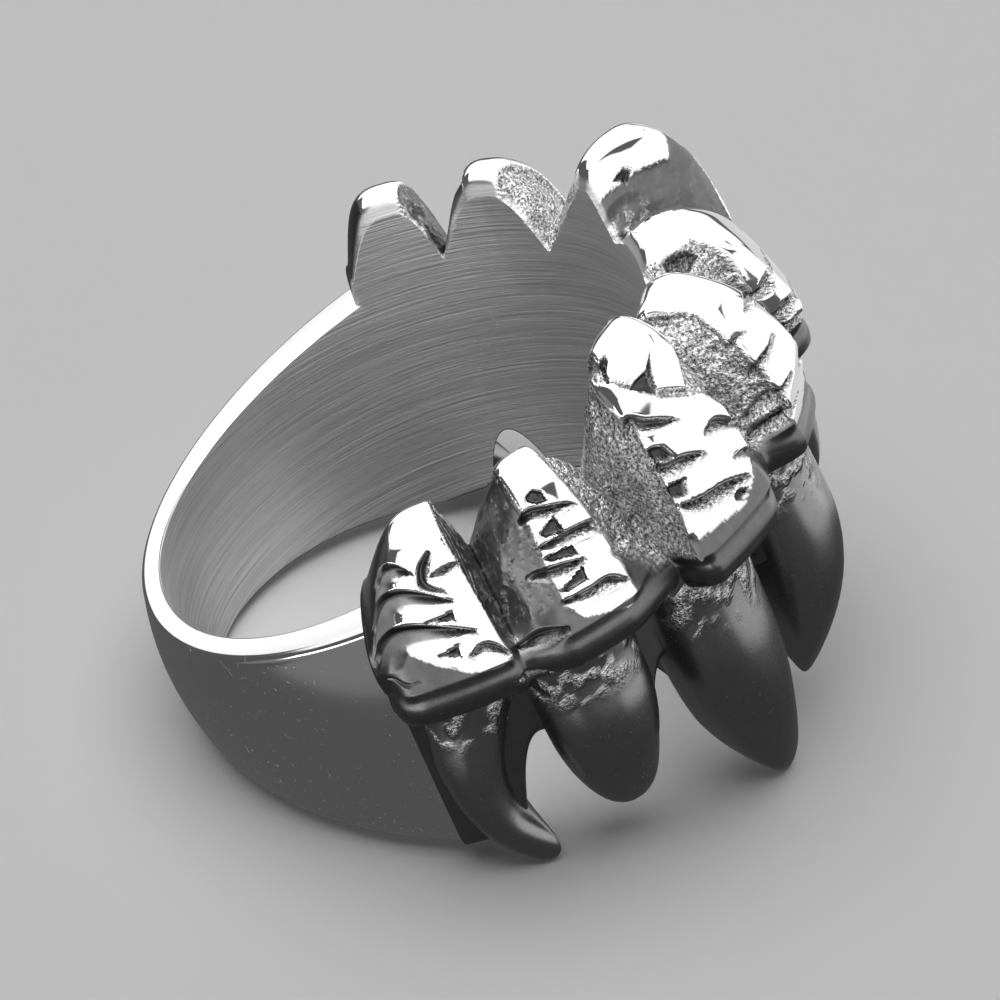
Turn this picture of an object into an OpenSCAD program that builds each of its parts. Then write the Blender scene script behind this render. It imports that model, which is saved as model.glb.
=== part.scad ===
// Claw ring: one cast metal finger ring. A plain band flares from the back of the finger
// and ends in a step against the paw: eight creased toes side by side, a cuticle fold
// along their feet, and a talon growing down from under the fold below each toe.
// The ring lies on its side with its toes up, on the back of the band and on its talons.
// Angles go round the finger: 0 is the back (+Y), 90 is -X, 180 is the front (-Y).

/* [Finger] */
// Inner diameter of the finger hole
bore_d = 20; // [19:0.25:21]

/* [Band] */
// Height of the band at the back of the finger
band_back_h = 5.7; // [5.2:0.1:6.4]
// Height of the band at the step
band_front_h = 9.6; // [9:0.1:10]
// Thickness of the band's rim at the back
band_back_wall = 0.75; // [0.7:0.05:1]
// Thickness of the band's rim at the step
band_front_wall = 1.75; // [1.5:0.05:2]
// How far the outside of the band swells between its rims
band_swell = 0.35; // [0.1:0.05:0.5]

/* [Toes] */
// Height of the feet of the toes above the middle of the band
toe_foot_z = 3; // [2.8:0.1:3.2]
// Depth of the creases across a toe
crease_depth = 0.45; // [0.1:0.05:0.6]
// Share of a toe's half width that is its raised face
toe_face = 0.38; // [0.3:0.01:0.5]
// Depth of the wall left behind the channels between toes
channel_wall = 2.2; // [2:0.1:2.5]

/* [Fold] */
// Height of the middle of the cuticle fold
fold_z = 2.1; // [2:0.05:2.3]
// How far the fold stands out from the wall behind it, between the toes
fold_out = 1.1; // [0.8:0.1:1.4]

/* [Talons] */
// Height of the gaps between the talons, at the bore
web_inner_z = -2.4; // [-2.8:0.1:-2]
// Height of the gaps between the talons, on the outside
web_outer_z = -1.2; // [-1.6:0.1:-0.8]
// Width of the talons, as a share of the widths in their table
talon_width = 1; // [0.9:0.01:1.05]

/* [Hidden] */
bore_r = bore_d / 2;
grow = bore_r - 10; // the tables below are for a 20 mm bore

// Notches between toes, from the step to the front; the other side mirrors them
// columns: angle, height of the notch at the bore, angle of the gap between talons below it, extra wall
NOTCHES = [
    [83, 5.7, 83, 0.9],
    [103.5, 5.6, 101.5, 0],
    [129.5, 5.5, 125.5, 0],
    [155.5, 6.9, 151, 0],
    [180, 6.9, 180, 0]
];
// Toes from one side of the finger to the other
// columns: left, middle and right angle of the tip, the same of the foot,
// inner edge z, crest z, crest r, brow share, knuckle z, knuckle r, foot r
TOES = [
    [[93, 98.2, 101.3], [87, 94.5, 101.3], 7.3, 8.1, 11.6, 0.35, 5.2, 12.8, 13.6],
    [[112.3, 118, 122.8], [109.5, 115, 120.5], 7.4, 8.2, 11.8, 0.35, 5.2, 13.1, 13.9],
    [[141.3, 149, 153.8], [131.5, 138, 146], 8.6, 9.6, 12.3, 0.35, 6.4, 13.9, 14.8],
    [[160, 165.5, 172.7], [159.5, 164.5, 172.2], 7.7, 8.4, 12.3, 0.5, 4.4, 14.5, 14.4],
    [[186.5, 193, 198.7], [186.5, 193, 198.7], 7.4, 8, 12.8, 0.5, 3.9, 14.8, 14.7],
    [[207.8, 210.3, 215], [209, 213.5, 220], 8.9, 10, 13.5, 0.6, 4.8, 15, 14.9],
    [[236.5, 241.8, 247.5], [237, 244, 250], 8, 8.8, 12, 0.5, 5, 13.4, 13.7],
    [[260, 264.5, 270], [258.7, 265.5, 273], 7.9, 8.7, 11.8, 0.5, 5.2, 12.8, 13.6]
];
// Talons of one side; the other side mirrors them
// columns: angles of the axis from root to tip, half widths from root to tip, tip z, belly r, tip r
TALONS = [
    [[92.5, 89.4, 90, 96.2], [8.5, 5, 5.6], -6.0, 13.3, 12.2],
    [[112, 111.8, 111.3, 111.5], [10, 9.2, 6.8], -5.2, 13.9, 12.3],
    [[136.5, 136, 137, 139.5], [10, 8.8, 6.2], -8.4, 14.2, 12.3],
    [[165, 164, 161.5, 158], [10, 9, 6.5], -7.4, 14.2, 11.6]
];

band_columns = 16; // columns along half of the band
toe_columns = [-1, -0.92, -0.8, -0.6, -0.36, -0.12, 0.12, 0.36, 0.6, 0.8, 0.92]; // places across a toe
talon_edge = 0.92; // place across a toe at which its talon ends and the gap begins
tip_places = [0, 0.12, 0.25, 0.38, 0.5]; // places down a toe before its first crease
creases = 4;
first_crease = 0.62;
last_crease = 0.96;
crease_half = 0.022; // half width of a crease, as a share of the toe's outline
talon_places = [0.12, 0.3, 0.5, 0.7, 0.86, 0.96, 1]; // places down a talon
fold_half = 0.5; // half height of the cuticle fold
talon_top = fold_z - 0.9; // height at which the talons come out from under the fold
talon_widest = 0.35; // place down a talon at which its belly is fullest
talon_inside = 0.66; // height of a talon's inner edge, as a share of its tip's height
tip_flat = 0.5; // half thickness of a talon's blunt tip
tip_rise = 0.05; // the inner edge of the tip is this much higher than the outer one
rim_round = 0.25; // rounding of the band's rims
step_lean = 0.3; // the face of the step leans by this angle
edge_margin = 0.1; // the lower edge leaves the bore this far outside it, so that the cut is clean
cut_margin = 0.6; // the casting starts this far inside the bore, which then cuts it
cut_h = 40;
section_points = len(tip_places) + 3 * creases + 4 + len(talon_places) + 3;

function mix(p, q, t) = p + (q - p) * t;
function ease(lo, hi, x) = let (t = min(1, max(0, (x - lo) / (hi - lo)))) t * t * (3 - 2 * t);

// Smooth curve through the points p at t from 0 to 1
function curve(p, t) = let (
    n = len(p) - 1, i = min(n - 1, floor(t * n)), f = t * n - i,
    b = p[i], c = p[i + 1],
    a = i > 0 ? p[i - 1] : 2 * b - c,
    d = i < n - 1 ? p[i + 2] : 2 * c - b
) 0.5 * (2 * b + (c - a) * f + (2 * a - 5 * b + 4 * c - d) * f * f + (3 * b - a - 3 * c + d) * f * f * f);

// A notch counted from one step round the front to the other
function notch(k) = k < len(NOTCHES) ? NOTCHES[k] : let (
    twin = NOTCHES[len(TOES) - k]
) [360 - twin[0], twin[1], 360 - twin[2], twin[3]];
function talon(n) = n < len(TALONS) ? TALONS[n] : let (
    twin = TALONS[len(TOES) - 1 - n]
) concat([[for (a = twin[0]) 360 - a]], [for (i = [1:4]) twin[i]]);

step_angle = NOTCHES[0][0];
// How far round to the step an angle of the band is: 0 at the back, 1 at the step
function flare(a) = (1 - cos(a)) / (1 - cos(step_angle));
function band_half(a) = mix(band_back_h, band_front_h, pow(flare(a), 1.18)) / 2;

// A section is a list of [radius, angle, z], which runs from the upper edge of the bore
// round the outside to the lower edge
function band_section(a) = let (
    half = band_half(a), n = section_points - 4,
    w = bore_r + mix(band_back_wall, band_front_wall, flare(a))
) concat(
    [[bore_r - cut_margin, a, half], [w - rim_round, a, half]],
    [for (i = [0:n - 1]) let (s = 1 - 2 * i / (n - 1)) [
        w + band_swell * (1 - s * s), a, s * (half - rim_round)
    ]],
    [[w - rim_round, a, -half], [bore_r - cut_margin, a, -half]]
);

// Outline of a toe's ridge as [radius, z], from its inner edge over a round tip and brow to its foot
function ridge(toe) = let (crest_z = toe[3], crest_r = toe[4], thick = crest_r - 10, knuckle_z = toe[6]) [
    [bore_r, toe[2]],
    [bore_r + 0.15 * thick, mix(toe[2], crest_z, 0.72)],
    [bore_r + 0.5 * thick, crest_z],
    [bore_r + 0.9 * thick, crest_z - 0.35],
    [mix(crest_r, toe[7], toe[5]) + grow, mix(crest_z, knuckle_z, 0.38)],
    [toe[7] + grow, knuckle_z],
    [toe[8] + grow, toe_foot_z]
];
// Outline of the channel between two toes, from its notch down to the fold
function channel(notch) = let (z = notch[1], wall = bore_r + channel_wall + notch[3]) [
    [bore_r, z],
    [mix(bore_r, wall, 0.16), z + 0.1],
    [mix(bore_r, wall, 0.4), z + 0.1],
    [mix(bore_r, wall, 0.73), z - 0.4],
    [wall - 0.1, mix(z, toe_foot_z, 0.4)],
    [wall + 0.1, mix(z, toe_foot_z, 0.7)],
    [bore_r + channel_wall + 0.8, toe_foot_z]
];
// Angle at x across toe n, for its tip (end = 0) or its foot (end = 1), from notch to notch
function toe_angle(n, x, end) = curve(
    concat([notch(n)[0]], TOES[n][end], [notch(n + 1)[0]]), (x + 1) / 2
);

// The toe's part of a section, x from -1 to 1 across the toe
function toe_section(n, x) = let (
    toe = TOES[n],
    side = notch(x < 0 ? n : n + 1),
    lift = pow(cos(90 * pow(abs(x), 1.6)), 1.2),
    out = 1 - ease(toe_face, 1, abs(x)),
    groove = crease_depth * ease(0.02, 0.3, abs(x)) * (1 - ease(0.6, 0.95, abs(x))),
    hills = ridge(toe),
    dale = channel(side),
    places = concat(
        [for (t = tip_places) [t, 0]],
        [for (k = [0:creases - 1]) let (t = mix(first_crease, last_crease, k / (creases - 1)))
            each [[t - crease_half, 0], [t, groove], [t + crease_half, 0]]]
    )
) [for (p = places) let (h = curve(hills, p[0]), d = curve(dale, p[0])) [
    mix(d[0], h[0], out) - p[1] - (p[0] == 0 ? cut_margin : 0),
    mix(toe_angle(n, x, 0), toe_angle(n, x, 1), p[0]),
    mix(d[1], h[1], lift)
]];

// The fold and talon of a section, below the toe
function talon_section(n, x) = let (
    toe = TOES[n],
    claw = talon(n),
    side = notch(x < 0 ? n : n + 1),
    at_step = side[0] == step_angle || side[0] == 360 - step_angle,
    tip_z = claw[2],
    belly_r = claw[3] + grow,
    tip_r = claw[4] + grow,
    wall = bore_r + channel_wall,
    out = 1 - ease(toe_face, 1, abs(x)),
    fold_a = toe_angle(n, x, 1),
    fold_r = mix(wall + fold_out, max(toe[8] + grow, wall + fold_out), out),
    across = min(1, abs(x) / talon_edge), // 0 on the talon's axis, 1 at its edge
    reach = pow(1 - pow(across, 3), 0.45), // how far down the talon this section goes
    gap = abs(x) > talon_edge,
    low = -band_half(step_angle), // the lower edge at the step
    end_z = mix(at_step ? low : web_outer_z, tip_z, reach),
    inner_z = mix(
        at_step ? low : web_inner_z,
        min(at_step ? low : 0, talon_inside * tip_z),
        reach
    ),
    end_d = (talon_top - end_z) / (talon_top - tip_z),
    belly = mix(wall, belly_r, sqrt(1 - 0.95 * across * across)),
    taper = (tip_r + tip_flat - bore_r) / (belly_r - bore_r),
    places = [for (s = talon_places) let (
        z = mix(talon_top, end_z, s),
        d = (talon_top - z) / (talon_top - tip_z), // 0 at the talon's top, 1 at its tip
        half = talon_width * curve(claw[1], d) * sqrt(max(0, 1 - pow(d, 5))),
        spread = mix(across, 1, pow(d / end_d, 3)),
        a = curve(claw[0], d) + sign(x) * spread * half,
        swell = d < talon_widest
            ? mix(0.93, 1, ease(0, talon_widest, d))
            : mix(1, taper, pow((d - talon_widest) / (1 - talon_widest), 2))
    ) [
        mix(bore_r, belly, swell) - (s == 1 ? 0.35 : 0),
        gap ? mix(fold_a, side[2], ease(0, 0.35, s)) : mix(fold_a, a, ease(0, 0.2, d)),
        z
    ]],
    end = places[len(places) - 1],
    inner_r = mix(mix(bore_r, end[0], 0.5), min(end[0] - 0.3, tip_r - tip_flat), reach),
    inner_side = curve(claw[0], 0.7) + 0.7 * sign(x) * across * claw[1][1],
    inner_a = gap ? end[1] : mix(end[1], inner_side, 0.7)
) concat(
    [
        [fold_r, fold_a, fold_z + fold_half],
        [fold_r + 0.15, fold_a, fold_z],
        [fold_r - 0.15, fold_a, fold_z - fold_half],
        [wall + 0.7 * out, fold_a, talon_top + 0.2]
    ],
    places,
    [
        [
            inner_r,
            mix(end[1], inner_a, 0.4 * (1 - reach)),
            mix(end_z + tip_rise, inner_z, 0.5 * (1 - reach))
        ],
        [bore_r + edge_margin, inner_a, inner_z],
        [bore_r - cut_margin, inner_a, inner_z + edge_margin]
    ]
);

sections = concat(
    [for (i = [-band_columns:band_columns]) band_section(step_angle * i / band_columns)],
    [for (n = [0:len(TOES) - 1], x = toe_columns) concat(toe_section(n, x), talon_section(n, x))],
    [concat(toe_section(len(TOES) - 1, 1), talon_section(len(TOES) - 1, 1))]
);
function leaned(a) = a == step_angle ? a + step_lean : a == 360 - step_angle ? a - step_lean : a;

points = [for (i = [0:len(sections) - 1]) each [for (p = sections[i]) let (
    a = i > 2 * band_columns ? leaned(p[1]) : p[1]
) [-p[0] * sin(a), p[0] * cos(a), p[2]]]];

// The floor touches the band's back rim and the inner edges of the third talons' tips
third = TALONS[2];
rest_tilt = atan2(
    -third[2] - tip_rise - band_back_h / 2,
    bore_r + band_back_wall - rim_round - (third[4] + grow - tip_flat) * cos(third[0][3])
);
rest_z = [for (p = points) p[2] * cos(rest_tilt) - p[1] * sin(rest_tilt)];
rest_y = [for (p = points) p[1] * cos(rest_tilt) + p[2] * sin(rest_tilt)];

module casting() {
    n = section_points;
    m = len(sections);
    polyhedron(
        points = points,
        faces = [for (i = [0:m - 1], j = [0:n - 1]) let (
            a = i * n + j, b = i * n + (j + 1) % n,
            c = (i + 1) % m * n + (j + 1) % n, d = (i + 1) % m * n + j
        ) each [[a, c, b], [a, d, c]]],
        convexity = 8
    );
}

module claw_ring() {
    color("silver")
        translate([0, -(min(rest_y) + max(rest_y)) / 2, -min(rest_z)])
            rotate([-rest_tilt, 0, 0])
                difference() {
                    casting();
                    translate([0, 0, -cut_h / 2]) cylinder(d = bore_d, h = cut_h, $fn = 96);
                }
}

claw_ring();
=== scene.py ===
# %% [markdown]
# # A claw ring in cast steel
#
# This is one heavy finger ring: a plain band at the back, and a paw at the front with eight
# creased toes, a cuticle fold below them and a talon under each toe. The real ring is cast in
# one piece, its bore is turned and brushed, and its high places are polished while the deep
# ones keep the sandy skin of the mould. The looks follow that: each surface is worked out as a
# formula on a fine grid, and the same grid says where the metal is polished and where sandy.

import math

import bpy
import numpy as np
from mathutils import Matrix, Vector


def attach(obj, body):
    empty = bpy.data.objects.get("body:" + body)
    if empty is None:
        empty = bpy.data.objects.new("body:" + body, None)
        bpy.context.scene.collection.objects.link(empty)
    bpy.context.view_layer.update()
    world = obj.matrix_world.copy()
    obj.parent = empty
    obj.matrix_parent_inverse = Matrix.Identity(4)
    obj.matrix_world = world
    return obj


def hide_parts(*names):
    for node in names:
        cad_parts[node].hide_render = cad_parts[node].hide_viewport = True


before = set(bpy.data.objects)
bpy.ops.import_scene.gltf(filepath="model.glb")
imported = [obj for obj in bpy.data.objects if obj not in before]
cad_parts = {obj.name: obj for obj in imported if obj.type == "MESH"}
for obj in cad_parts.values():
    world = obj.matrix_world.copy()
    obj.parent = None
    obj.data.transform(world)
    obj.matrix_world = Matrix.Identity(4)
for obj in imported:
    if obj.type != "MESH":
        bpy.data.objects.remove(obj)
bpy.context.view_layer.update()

# %% [markdown]
# ## The ring's own coordinates
#
# A ring is easiest to describe round the finger: a radius from the middle of the hole, an angle
# that is 0 at the back of the band, 90 on the near side and 180 at the front, and a height along
# the finger. The alternative, plain x, y and z, would need a sine in every line. One helper
# turns those cylindrical millimetres into metres of the frame. It also leans the ring by the
# angle at which it rests on its back rim and its longest talons.

# %% Places and sizes of the ring
MM = 0.001
BORE_R = 10.0
# how far the ring leans as it lies, and the move in mm that sets it on the floor
REST_TILT = math.radians(15.7721)
REST_SHIFT = np.array([0.0, 1.43654, 5.60265])
TILT = np.array([
    [1, 0, 0],
    [0, math.cos(REST_TILT), math.sin(REST_TILT)],
    [0, -math.sin(REST_TILT), math.cos(REST_TILT)],
])

# the band's height and wall at its back and at the two steps, where the paw starts
BAND_BACK_H, BAND_FRONT_H = 5.7, 9.6
BAND_BACK_WALL, BAND_FRONT_WALL, BAND_SWELL = 0.75, 1.75, 0.35
STEP_ANGLE = 83.0
# the toes' feet, the wall at the bottom of the channels, and the fold under the feet
TOE_FOOT_Z = 3.0
WALL_R = BORE_R + 2.2
FOLD_Z, FOLD_OUT = 2.1, 1.1

# angle, height of the notch at the bore, angle of the talon gap below it, extra wall
NOTCHES = [
    [83, 5.7, 83, 0.9],
    [103.5, 5.6, 101.5, 0],
    [129.5, 5.5, 125.5, 0],
    [155.5, 6.9, 151, 0],
    [180, 6.9, 180, 0],
]
NOTCHES += [[360 - a, z, 360 - gap, wall] for a, z, gap, wall in NOTCHES[3::-1]]
# left, middle and right angle of the tip, the same of the foot, and
# inner edge z, crest z, crest r, brow share, knuckle z, knuckle r, foot r
TOES = [
    [[93.0, 98.2, 101.3], [87.0, 94.5, 101.3], 7.3, 8.1, 11.6, 0.35, 5.2, 12.8, 13.6],
    [[112.3, 118.0, 122.8], [109.5, 115.0, 120.5], 7.4, 8.2, 11.8, 0.35, 5.2, 13.1, 13.9],
    [[141.3, 149.0, 153.8], [131.5, 138.0, 146.0], 8.6, 9.6, 12.3, 0.35, 6.4, 13.9, 14.8],
    [[160.0, 165.5, 172.7], [159.5, 164.5, 172.2], 7.7, 8.4, 12.3, 0.5, 4.4, 14.5, 14.4],
    [[186.5, 193.0, 198.7], [186.5, 193.0, 198.7], 7.4, 8.0, 12.8, 0.5, 3.9, 14.8, 14.7],
    [[207.8, 210.3, 215.0], [209.0, 213.5, 220.0], 8.9, 10.0, 13.5, 0.6, 4.8, 15.0, 14.9],
    [[236.5, 241.8, 247.5], [237.0, 244.0, 250.0], 8.0, 8.8, 12.0, 0.5, 5.0, 13.4, 13.7],
    [[260.0, 264.5, 270.0], [258.7, 265.5, 273.0], 7.9, 8.7, 11.8, 0.5, 5.2, 12.8, 13.6],
]
# angles of the axis from root to tip, half widths from root to tip in degrees,
# tip z, belly r, tip r
TALONS = [
    [[92.5, 89.4, 90, 96.2], [8.5, 5, 5.6], -6.0, 13.3, 12.2],
    [[112, 111.8, 111.3, 111.5], [10, 9.2, 6.8], -5.2, 13.9, 12.3],
    [[136.5, 136, 137, 139.5], [10, 8.8, 6.2], -8.4, 14.2, 12.3],
    [[165, 164, 161.5, 158], [10, 9, 6.5], -7.4, 14.2, 11.6],
]
TALONS += [[[360 - a for a in axis], *others] for axis, *others in TALONS[::-1]]
print(len(TOES), "toes between", len(NOTCHES), "notches, over", len(TALONS), "talons")


# %% Coordinates, ramps and curves
def ring_mm(radius, angle, z):
    """Cylindrical to plain coordinates of the upright ring, in mm: x = -r sin a and y = r cos a."""
    a = np.radians(angle)
    return np.stack(np.broadcast_arrays(-radius * np.sin(a), radius * np.cos(a), z), -1)


def to_frame(mm):
    """The upright ring's millimetres to metres of the frame: lean, lift, scale."""
    return (mm @ TILT.T + REST_SHIFT) * MM


def mix(p, q, t):
    """A share t of the way from p to q."""
    return p + (q - p) * t


def ease(lo, hi, x):
    """0 below lo, 1 above hi, and the cubic 3t² - 2t³ between them."""
    t = np.clip((x - lo) / (hi - lo), 0, 1)
    return t * t * (3 - 2 * t)


def curve(points, t):
    """Catmull-Rom curve through evenly spaced points, at t from 0 to 1: between two points it is
    the cubic whose slope at each is half the way from the point before to the point after."""
    points = np.asarray(points, float)
    last = len(points) - 1
    t = np.clip(np.asarray(t, float), 0, 1)
    i = np.minimum(last - 1, np.floor(t * last).astype(int))
    f = (t * last - i).reshape(t.shape + (1,) * (points.ndim - 1))
    before, after = 2 * points[:1] - points[1:2], 2 * points[-1:] - points[-2:-1]
    grown = np.concatenate([before, points, after])
    a, b, c, d = (grown[i + k] for k in range(4))
    square, cube = 2 * a - 5 * b + 4 * c - d, 3 * b - a - 3 * c + d
    return 0.5 * (2 * b + (c - a) * f + square * f**2 + cube * f**3)


print("back of the bore in the frame, in mm:", to_frame(ring_mm(BORE_R, 0, 0)) / MM)

# %% [markdown]
# ## From grids to meshes
#
# Every piece here is a closed tube: a grid whose columns run along it and whose rows run round
# its section, with a flat cap at each end. Spinning or bevelling a rough model could make such
# forms too, but a grid keeps the formula in sight, and it carries numbers for the finish and for
# painted shade with it. Each point gets four of them: how sandy it is, how satin, whether it is
# bore and how much painted shade it has. The satin places also get a darker tone, a painted shade.
# Some pieces also carry the coordinates on which the bore's brushed lines are drawn.

# %% Make a mesh from a grid
# the satin number also darkens the tone, a painted shade on the talons, fold and flanks, and the
# last number is painted shade in the creases and pits
FINISH_AND_SHADE_KEYS = "sandy", "satin", "bore", "painted_shade"


def tube_faces(cols, rows):
    """Corner numbers of a closed tube's faces: quads join each point to the next row and column,
    the rows close on themselves, and a fan of triangles to one more point caps each end."""
    index = np.arange(cols * rows).reshape(cols, rows)
    along = np.roll(index, -1, axis=1)
    quads = np.stack([index[:-1], along[:-1], along[1:], index[1:]], -1).reshape(-1, 4)
    first, last = cols * rows, cols * rows + 1
    caps = np.concatenate([
        np.stack([np.full(rows, first), along[0], index[0]], -1),
        np.stack([np.full(rows, last), index[-1], along[-1]], -1),
    ])
    return quads, caps


def new_piece(name, points, scratch=None, crease_deg=40, **finish_and_shade):
    """A closed tube from a grid of points [columns, rows, 3] in metres, with its numbers for the
    surface and for painted shade. Each of those numbers is one value or a grid, and 0 where it
    isn't given. Edges that turn by more than crease_deg degrees look sharp."""
    cols, rows = points.shape[:2]
    quads, caps = tube_faces(cols, rows)
    spots = np.concatenate([points.reshape(-1, 3), points[[0, -1]].mean(axis=1)])
    mesh = bpy.data.meshes.new(name)
    mesh.vertices.add(len(spots))
    mesh.vertices.foreach_set("co", spots.astype(np.float32).ravel())
    loops = np.concatenate([quads.ravel(), caps.ravel()])
    starts = np.concatenate([4 * np.arange(len(quads)), quads.size + 3 * np.arange(len(caps))])
    mesh.loops.add(len(loops))
    mesh.loops.foreach_set("vertex_index", loops.astype(np.int32))
    mesh.polygons.add(len(starts))
    mesh.polygons.foreach_set("loop_start", starts.astype(np.int32))
    mesh.update(calc_edges=True)
    for key in FINISH_AND_SHADE_KEYS:
        values = np.broadcast_to(finish_and_shade.get(key, 0), (cols, rows)).ravel()
        layer = mesh.attributes.new(key, "FLOAT", "POINT")
        layer.data.foreach_set("value", np.append(values, [0, 0]).astype(np.float32))
    if scratch is not None:
        values = np.concatenate([scratch.reshape(-1, 3), np.zeros((2, 3))])
        layer = mesh.attributes.new("scratch", "FLOAT_VECTOR", "POINT")
        layer.data.foreach_set("vector", values.astype(np.float32).ravel())
    mesh.shade_smooth()
    mesh.set_sharp_from_angle(angle=math.radians(crease_deg))
    piece = bpy.data.objects.new(name, mesh)
    bpy.context.scene.collection.objects.link(piece)
    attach(piece, "root")
    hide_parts("claw_ring")
    print(f"{name}: {len(quads) * 2 + len(caps)} triangles")
    return piece


def scratch_coords(radius, angle, z):
    """Where the brushed lines are drawn: millimetres round the finger, along it and out from it."""
    return np.stack(np.broadcast_arrays(np.radians(angle) * BORE_R, z, radius), -1)


# %% [markdown]
# ## The band
#
# The back of the ring is a plain band that grows taller and thicker towards the paw. Its
# outside swells a little, and its two rims are flat with a small rounding. Spinning a profile
# can't change the height on the way round, so one section is swept along the angle and worked
# out anew at each column.

# %% Band
# columns of the sweep, and degrees by which its last section goes on into the paw
BAND_COLS, STEP_LAP = 260, 0.3
# roundings in mm of the two lips at the bore, the upper outer rim and the lower outer rim
LIP_ROUND, UPPER_ROUND, LOWER_ROUND = 0.16, 0.3, 0.45
FLARE_POWER = 1.18
# how satin the band's outside is, which also darkens its tone as a painted shade
BAND_SATIN_AND_SHADE = 0.2


def flare(angle):
    """0 at the back of the finger and 1 at the step: the cosine of the angle, scaled."""
    return (1 - np.cos(np.radians(angle))) / (1 - math.cos(math.radians(STEP_ANGLE)))


def band():
    """The band's section swept from step to step: bore, rounded rims, and an outside with a
    parabolic swell. Its height grows with a power of the flare, and its wall with the flare."""
    a = np.linspace(-STEP_ANGLE - STEP_LAP, STEP_ANGLE + STEP_LAP, BAND_COLS)[:, None]
    shown = np.clip(a, -STEP_ANGLE, STEP_ANGLE)
    half = mix(BAND_BACK_H, BAND_FRONT_H, flare(shown) ** FLARE_POWER) / 2
    wall = BORE_R + mix(BAND_BACK_WALL, BAND_FRONT_WALL, flare(shown))
    turn = np.linspace(0, 1, 9)[None, :] * math.pi / 2
    off, on = 1 - np.cos(turn), 1 - np.sin(turn)
    outside, inside = np.linspace(1, -1, 40)[None, 1:-1], np.linspace(-1, 1, 26)[None, 1:-1]
    # upper inner lip, upper outer rim, outside, lower outer rim, lower inner lip, bore
    parts = [
        (BORE_R + LIP_ROUND * off, half - LIP_ROUND * on),
        (wall - UPPER_ROUND * on, half - UPPER_ROUND * off),
        (wall + BAND_SWELL * (1 - outside * outside), outside * (half - UPPER_ROUND)),
        (wall - LOWER_ROUND * off, -half + LOWER_ROUND * on),
        (BORE_R + LIP_ROUND * on, -half + LIP_ROUND * off),
        (BORE_R + 0 * inside, (half - LIP_ROUND) * inside),
    ]
    r, z = (np.concatenate([part[k] + 0 * a for part in parts], 1) for k in range(2))
    # the paw's angles end at the far step, and the brushed lines go on from there
    lines = scratch_coords(r, a + 360, z)
    # the band's outside gets some of the satin's darker tone, a painted shade
    satin = BAND_SATIN_AND_SHADE * ease(BORE_R + 0.3, BORE_R + 1.2, r)
    return new_piece("band", to_frame(ring_mm(r, a, z)), lines, satin=satin, bore=r < BORE_R + 0.01)


ring_pieces = {"band": band()}

# %% [markdown]
# ## The paw: toes, fold and the wall behind the talons
#
# A toe of the real ring is a ridge with a polished face. Its sides fall to sandy channels, a
# round fold runs along all the toes' feet, and under the fold a wall joins the talons. The
# whole paw is one grid here: columns round the finger, and rows from the bore's upper edge over
# crest and brow, round the fold, down the wall and back up the bore. Sculpting would give
# freer forms, but a formula can be checked against the solid, because both use the same tables.

# %% Outlines of a toe and of a channel
def ridge(toe):
    """A toe's outline along its middle as [radius, z]: a round tip, brow, knuckle and foot."""
    _, _, inner_z, crest_z, crest_r, brow, knuckle_z, knuckle_r, foot_r = toe
    thick = crest_r - BORE_R
    return [
        [BORE_R, inner_z],
        [BORE_R + 0.15 * thick, mix(inner_z, crest_z, 0.72)],
        [BORE_R + 0.5 * thick, crest_z],
        [BORE_R + 0.9 * thick, crest_z - 0.35],
        [mix(crest_r, knuckle_r, brow), mix(crest_z, knuckle_z, 0.38)],
        [knuckle_r, knuckle_z],
        [foot_r, TOE_FOOT_Z],
    ]


def channel(notch):
    """The outline at the bottom of a channel as [radius, z], from its notch at the bore over a
    flat ledge and down a steep wall to the fold."""
    _, z, _, extra = notch
    wall = WALL_R + extra
    return [
        [BORE_R, z],
        [mix(BORE_R, wall, 0.16), z + 0.1],
        [mix(BORE_R, wall, 0.4), z + 0.1],
        [mix(BORE_R, wall, 0.73), z - 0.4],
        [wall - 0.1, mix(z, TOE_FOOT_Z, 0.4)],
        [wall + 0.1, mix(z, TOE_FOOT_Z, 0.7)],
        [WALL_R + 0.8, TOE_FOOT_Z],
    ]


print("first toe's outline as [radius, z]:", np.round(ridge(TOES[0]), 1).tolist())

# %% Rows of one toe
# columns of a toe, and rows of its upper side, of the fold, the wall, each edge and the bore
TOE_COLS, TOE_ROWS, BEAD_ROWS, WALL_ROWS, EDGE_ROWS, BORE_ROWS = 120, 220, 36, 20, 8, 20
# how far from a toe's middle its face reaches before it falls: left above, left below, right
# above, right below, and where down the toe it starts to widen
FACE_SIDES = [
    (0.38, 0.45, 0.38, 0.48, 0.35),
    (0.38, 0.36, 0.38, 0.48, 0.35),
    (0.48, 0.80, 0.40, 0.48, 0.16),
    (0.42, 0.46, 0.42, 0.46, 0.35),
    (0.50, 0.60, 0.42, 0.45, 0.30),
    (0.46, 0.44, 0.40, 0.42, 0.35),
    (0.38, 0.48, 0.38, 0.36, 0.35),
    (0.38, 0.48, 0.38, 0.45, 0.35),
]
WIDENING = 0.2
# the powers of a toe's dome, the face width from which it is flatter, and how much
DOME_POWER, DOME_ROUND, DOME_WIDE, DOME_FLATTER = 1.6, 1.2, 0.48, 5


def toe_angle(n, x, t):
    """The angle at x across toe n and t down it: a curve from its left notch through the face's
    left edge, middle and right edge to the right notch, going over from the tip's to the foot's."""
    ends = NOTCHES[n][0], NOTCHES[n + 1][0]
    tip, foot = (curve(np.array([ends[0], *row, ends[1]]), (x + 1) / 2) for row in TOES[n][:2])
    return mix(tip, foot, t)


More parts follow.
